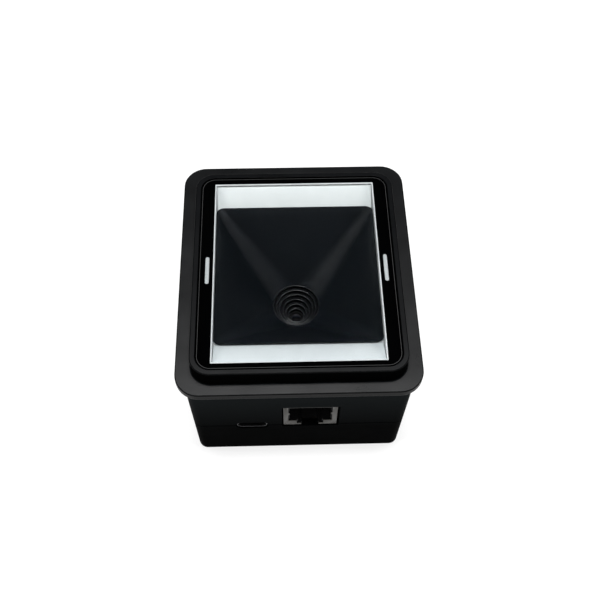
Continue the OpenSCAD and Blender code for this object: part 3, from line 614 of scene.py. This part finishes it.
boolean(funnel, [deck], "UNION")
plate_o = obj("plate", box_mesh("plate", -11, 11, WIN_Y - 11, WIN_Y + 11, 16.9, 19.8))
boolean(plate_o, [loft("c", [circle(8.3, 16, 48, 0, WIN_Y), circle(8.3, 21, 48, 0, WIN_Y)], cap0=True, cap1=True)])
boolean(funnel, [plate_o], "UNION")
for sx in (-1, 1):
    for sy in (-1, 1):
        boolean(funnel, [loft("p", [circle(1.9, 11, 32, sx * 8.8, WIN_Y + sy * 8.8), circle(1.9, 17.5, 32, sx * 8.8, WIN_Y + sy * 8.8)], cap0=True, cap1=True)], "UNION")
        boolean(funnel, [loft("c", [circle(0.65, 10, 24, sx * 8.8, WIN_Y + sy * 8.8), circle(0.65, 16, 24, sx * 8.8, WIN_Y + sy * 8.8)], cap0=True, cap1=True)])
shade(funnel, 32)
piece(funnel, "light_funnel", ["funnel", "funnel_edge", "funnel_step"])

# ---------------------------------------------------------------- reflector frame and diffusers
fcx = 0.0
fcy = (FY0 + FY1) / 2
FT, FB = FR_HI[2], ROOF + 0.5
sq = lambda dx, dy0, dy1, z, r=0.05: ring(2 * (FX + dx), FY1 - FY0 + dy0 + dy1, r, fcy + (dy1 - dy0) / 2, z, 3)
e = 0.07
rings = [sq(0, 0, 0, FB), sq(0, 0, 0, FT - e - 0.04), sq(0, 0, 0, FT - e), sq(e * 0.3, e * 0.3, e * 0.3, FT - e * 0.3), sq(e, e, e, FT),
         sq(e + 0.04, e + 0.04, e + 0.04, FT), sq(1.2 - e - 0.04, 0.95 - e - 0.04, 0.75 - e - 0.04, FT), sq(1.2 - e, 0.95 - e, 0.75 - e, FT),
         sq(1.2, 0.95, 0.75, FT - e, 0.1), sq(1.2, 0.95, 0.75, FB, 0.1)]
refl = obj("reflector", loft("reflector", rings, closed=True))
adds = []
for s in (-1, 1):
    a, b = sorted((s * (FX - 1.7), s * (FX + 0.4)))
    adds.append(box_mesh("l", a, b, FY1 - 1.6, FY1 + 0.7, DECK, FB + 0.6))
    adds.append(box_mesh("l", a, b, FY0 - 0.9, FY0 + 1.2, DECK, FB + 0.6))
    a, b = sorted((s * 20.6, s * (FX + 0.2)))
    adds.append(box_mesh("l", a, b, WIN_Y + ML / 2 - 2.9, WIN_Y + ML / 2 - 0.45, RIM - 1.9, RIM - 1))
    adds.append(box_mesh("l", a, b, WIN_Y - ML / 2 + 0.45, WIN_Y - ML / 2 + 2.9, RIM - 1.9, RIM - 1))
boolean(refl, adds, "UNION")
boolean(refl, [loft("c", [fun_ring(0, 0.06, RIM), fun_ring(1, 0.06, z_out)], cap0=True, cap1=True)])
shade(refl, 30)
piece(refl, "reflector_frame", ["white"])

def diffuser(name, node, y0, y1):
    z0, z1, th = FT - 0.35, RIM - 0.65, 1.1
    hw = FX - 0.12
    n = 12
    rings = []
    b = 0.12
    L = math.hypot(y1 - y0, z1 - z0)
    ux, uz = (y1 - y0) / L, (z1 - z0) / L
    def sec(x, ins):
        pts = [(y0 + ux * (b + ins), z0 + uz * (b + ins)), (y1 - ux * (b + ins), z1 - uz * (b + ins)),
               (y1 - ux * ins, z1 - uz * ins - b), (y1 - ux * ins, z1 - uz * ins - th + b + ins),
               (y1 - ux * (b + ins), z1 - uz * (b + ins) - th + ins), (y0 + ux * (b + ins), z0 + uz * (b + ins) - th + ins),
               (y0 + ux * ins, z0 + uz * ins - th + b + ins), (y0 + ux * ins, z0 + uz * ins - b)]
        return [(x, y, z - (ins if k in (0, 1, 2, 7) else 0)) for k, (y, z) in enumerate(pts)]
    rings.append(sec(-hw, 0.1)); rings.append(sec(-hw + 0.1, 0.0))
    for i in range(1, n):
        rings.append(sec(-hw + 0.1 + (2 * hw - 0.2) * i / n, 0.0))
    rings.append(sec(hw - 0.1, 0.0)); rings.append(sec(hw, 0.1))
    o = obj(name, loft(name, rings, cap0=True, cap1=True))
    shade(o, 50)
    return piece(o, node, [node])
# each panel takes its own light-tuned copy of the diffuser white
diffuser("far_diffuser", "diffuser_far", FY1 - 0.25, WIN_Y + ML / 2 - 0.3)
diffuser("near_diffuser", "diffuser_near", FY0 + 0.1, WIN_Y - ML / 2 + 0.3)

# ---------------------------------------------------------------- camera lens
lb = lathe("lens_tube", [(1.5, 16.9), (1.5, 17.66), (1.53, 17.72), (1.6, 17.72), (1.66, 17.66), (1.7, 17.72), (2.0, 18.02), (2.05, 18.09), (2.12, 18.15), (3.3, 18.15), (3.44, 18.1), (3.5, 18.0), (3.5, 12.9), (2.6, 12.9), (2.6, 16.9)], WIN_Y, 0, 72, closed=True)
lens_b = obj("lens_tube", lb); shade(lens_b, 30); piece(lens_b, "lens_barrel", ["lens_black"])
prof = [(1.47, 16.92), (1.48, 16.97), (1.48, 17.55)]
zc, R = 17.7 - 2.6, 3.0
for i in range(10):
    r = 1.46 * math.cos(math.pi / 2 * i / 9.0) if i < 9 else 0.001
    prof.append((max(r, 0.001), zc + math.sqrt(R * R - r * r)))
lens_f = obj("front_lens", lathe("front_lens", prof, WIN_Y, 0, 64)); shade(lens_f, 25); piece(lens_f, "lens_front", ["lens"])

# ---------------------------------------------------------------- network socket shell
x0, x1, y0, y1, z0, z1 = RJ_LO[0], RJ_HI[0], RJ_LO[1], RJ_HI[1], RJ_LO[2], RJ_HI[2]
def rj_ring(y, d, r): return [(q[0], y, q[1]) for q in ring(x1 - x0 + 2 * d, z1 - z0 + 2 * d, r, (z0 + z1) / 2, 0, 5, rjx)]
shell = obj("network_shell", loft("network_shell", [rj_ring(y0, -0.16, 0.35), rj_ring(y0 + 0.05, -0.04, 0.45), rj_ring(y0 + 0.16, 0, 0.5), rj_ring(y1 - 0.1, 0, 0.5), rj_ring(y1, -0.1, 0.4)], cap0=True, cap1=True))
inner = box_mesh("c", x0 + 0.3, x1 - 0.3, y0 + 0.3, y1 - 0.3, z0 - 1, z1 - 0.3)
zb_ = z0
mouth = [(-6.35, 12.1), (6.35, 12.1), (6.35, 8.9), (6.25, 8.6), (5.95, 8.35), (5.9, 8.0), (5.95, 7.6), (6.25, 7.35), (6.35, 7.0),
         (6.35, 3.1), (3.9, 3.1), (3.9, 1.2), (2.55, 1.2), (2.55, -1), (-2.55, -1), (-2.55, 1.2), (-3.9, 1.2), (-3.9, 3.1), (-6.35, 3.1),
         (-6.35, 7.0), (-6.25, 7.35), (-5.95, 7.6), (-5.9, 8.0), (-5.95, 8.35), (-6.25, 8.6), (-6.35, 8.9)]
mouth = loft("c", [[(rjx + a, y, zb_ + b) for a, b in mouth] for y in (y0 - 1, y0 + 1)], cap0=True, cap1=True)
boolean(shell, [inner, mouth])
bevel(shell, 0.05, 2, 50)
shade(shell, 30)
piece(shell, "rj45_shell", ["shell"])

# ---------------------------------------------------------------- USB shell
uy0, uy1 = US_LO[1], US_HI[1]
def us_ring(y, d): return [(q[0], y, q[1]) for q in ring(8.94 + 2 * d, 3.26 + 2 * d, 1.63 + d - 0.001, usz, 0, 12, usx)]
rings = [us_ring(uy1, 0), us_ring(uy0 + 0.3, 0), us_ring(uy0 + 0.09, 0), us_ring(uy0 + 0.03, -0.03), us_ring(uy0, -0.09),
         us_ring(uy0, -0.2), us_ring(uy0 + 0.03, -0.27), us_ring(uy0 + 0.09, -0.3), us_ring(uy0 + 0.3, -0.3), us_ring(uy1, -0.3)]
usb = obj("usb_shell_formed", loft("usb_shell_formed", rings, closed=True))
tabs = []
for s in (-1, 1):
    for t in (4.2, 6.2):
        cx_, cy_ = usx + s * (4.47 + 0.45), uy0 + t
        tabs.append(box_mesh("t", cx_ - 0.55, cx_ + 0.55, cy_ - 0.4, cy_ + 0.4, SPLIT - 1, SPLIT - 0.7))
boolean(usb, tabs, "UNION")
shade(usb, 30)
piece(usb, "usb_shell", ["usb_shell"])

# ---------------------------------------------------------------- fasteners seen from below
meshes = []
for sx in (-1, 1):
    for sy in (-1, 1):
        s = obj("screw", lathe("screw", [(1.2, 5.3), (1.9, 5.34), (2.1, 5.5), (2.2, 5.8), (2.2, 7.0), (1.03, 7.0), (1.03, 24.4), (0.6, 25.0)], sy * CY, sx * CX, 40))
        boolean(s, [loft("hex", [circle(0.95, 4.8, 6, sx * CX, sy * CY, 0.3), circle(0.95, 6.3, 6, sx * CX, sy * CY, 0.3), circle(0.3, 6.5, 6, sx * CX, sy * CY, 0.3)], cap0=True, cap1=True)])
        shade(s, 32)
        meshes.append(s.data.copy()); bpy.data.objects.remove(s)
scr = obj("case_screw_set", join_meshes("case_screw_set", meshes))
piece(scr, "case_screws", ["screw"])

meshes = []
for s in (-1, 1):
    prof = [(1.75, 0.0), (1.5, 0.25)]
    z = 0.35
    while z < 5.3:
        prof += [(1.5, z), (1.62, z + 0.125), (1.62, z + 0.2), (1.5, z + 0.35)]
        z += 0.5
    prof += [(1.5, 5.6), (1.6, 5.8), (2.0, 5.8), (2.1, 5.7), (2.1, 0.1), (2.0, 0.0)]
    meshes.append(lathe("ins", prof, 0, s * 20, 56, closed=True))
ins = obj("insert_pair", join_meshes("insert_pair", meshes)); shade(ins, 30)
piece(ins, "mount_inserts", ["brass"])

# ---------------------------------------------------------------- CAD nodes that stay
KEEP = {"window_tape": "foam", "led_board_far": "wpcb", "led_board_near": "wpcb", "led_chips_far": "led", "led_chips_near": "led",
        "status_boards": "pcb", "status_leds": "led", "lens_holder": "lens_black", "ir_filter": "filter", "image_sensor": "sensor",
        "camera_board": "pcb", "camera_flex": "amber", "camera_sockets": "beige", "main_board": "black_pcb", "board_sockets": "beige",
        "led_cable_far": "ffc", "led_cable_near": "ffc", "status_cables": "ffc", "rj45_insert": "insulator", "rj45_contacts": "gold",
        "usb_tongue": "insulator", "usb_contacts": "gold", "processor": "chip", "memory_chip": "chip", "network_transformer": "chip",
        "power_inductor": "ferrite", "capacitors": "can", "crystal": "can", "buzzer": "chip", "funnel_screws": "screw",
        "board_screws": "screw", "camera_screws": "screw"}
for n, m in KEEP.items():
    o = frame["nodes"][n]
    o.data.materials.clear()
    o.data.materials.append(MAT[m])

# ---------------------------------------------------------------- stage, lights, camera
fl = NT("floor_paper")
n = fl.noise(6, 2.0, 0.5)
fl.to("Base Color", fl.ramp(n, [(0.3, (0.34, 0.34, 0.34)), (0.7, (0.36, 0.36, 0.36))]))
fl.to("Normal", fl.bump(fl.noise(900, 2.0), 1e-5, 0.2))
fl.const(Roughness=0.9, Emission_Color=(1, 1, 1, 1))
dist = fl.t.nodes.new("ShaderNodeVectorMath"); dist.operation = "LENGTH"
fl.t.links.new(fl.co, dist.inputs[0])
fl.to("Emission Strength", fl.span(fl.math("SUBTRACT", dist.outputs["Value"], 0.3), 0.69, 1.4))
fl.p.inputs["Specular IOR Level"].default_value = 0.1
floor = obj("floor", loft("floor", [[(x * 4000, y * 4000, 0.0) for x, y in ((-1, -1), (1, -1), (1, 1), (-1, 1))], [(x * 4000, y * 4000, -5.0) for x, y in ((-1, -1), (1, -1), (1, 1), (-1, 1))]], cap0=True, cap1=True))
floor.data.materials.append(fl.m)

w = bpy.data.worlds.new("studio"); scene.world = w
w.use_nodes = True
w.node_tree.nodes["Background"].inputs["Color"].default_value = (0.9, 0.95, 1.0, 1)
wlp = w.node_tree.nodes.new("ShaderNodeLightPath")
wst = w.node_tree.nodes.new("ShaderNodeMapRange")
wst.inputs["To Min"].default_value, wst.inputs["To Max"].default_value = 0.008, 1.15
w.node_tree.links.new(wlp.outputs["Is Camera Ray"], wst.inputs["Value"])
w.node_tree.links.new(wst.outputs["Result"], w.node_tree.nodes["Background"].inputs["Strength"])

def area(name, loc, target, sx, sy, watts, col=(1, 1, 1)):
    d = bpy.data.lights.new(name, "AREA")
    d.shape, d.size, d.size_y, d.energy, d.color = "RECTANGLE", sx, sy, watts, col
    o = bpy.data.objects.new(name, d)
    scene.collection.objects.link(o)
    o.location = loc
    o.rotation_euler = (Vector(target) - Vector(loc)).to_track_quat("-Z", "Y").to_euler()
    o.visible_transmission = False       # lamps already reach under the pane along shadow rays
    return o
area("overhead", (0.0, 0.075, 2.0), (0, 0.0, 0), 0.9, 0.34, 44.5)
area("front_top", (0.0, -0.95, 1.8), (0, 0.0, 0), 0.9, 0.5, 7.5)
area("side_right", (1.3, -0.36, 1.0), (0, 0.0, 0), 0.5, 0.5, 6.2)
area("side_left", (-1.3, -0.36, 1.0), (0, 0.0, 0), 0.5, 0.5, 7.4)
area("back_low", (0.15, 1.6, 0.22), (0, 0.0, 0.02), 0.7, 0.3, 5.0).visible_glossy = False

cam = bpy.data.cameras.new("camera")
cam.lens, cam.sensor_width = 49.96, 36.0
cam.clip_start, cam.clip_end = 0.01, 20
camo = bpy.data.objects.new("camera", cam)
scene.collection.objects.link(camo)
el, yaw, roll = math.radians(59.084), math.radians(2.499), math.radians(1.0935)
d = Vector((math.sin(yaw) * math.cos(el), math.cos(yaw) * math.cos(el), -math.sin(el)))
r = Vector((math.cos(yaw), -math.sin(yaw), 0))
u = r.cross(d)
right = math.cos(roll) * r + math.sin(roll) * u
up = -math.sin(roll) * r + math.cos(roll) * u
M = Matrix((right, up, -d)).transposed().to_4x4()
M.translation = Vector((-4.561, -132.046, 204.374 + FLZ)) * MM
camo.matrix_world = M
scene.camera = camo
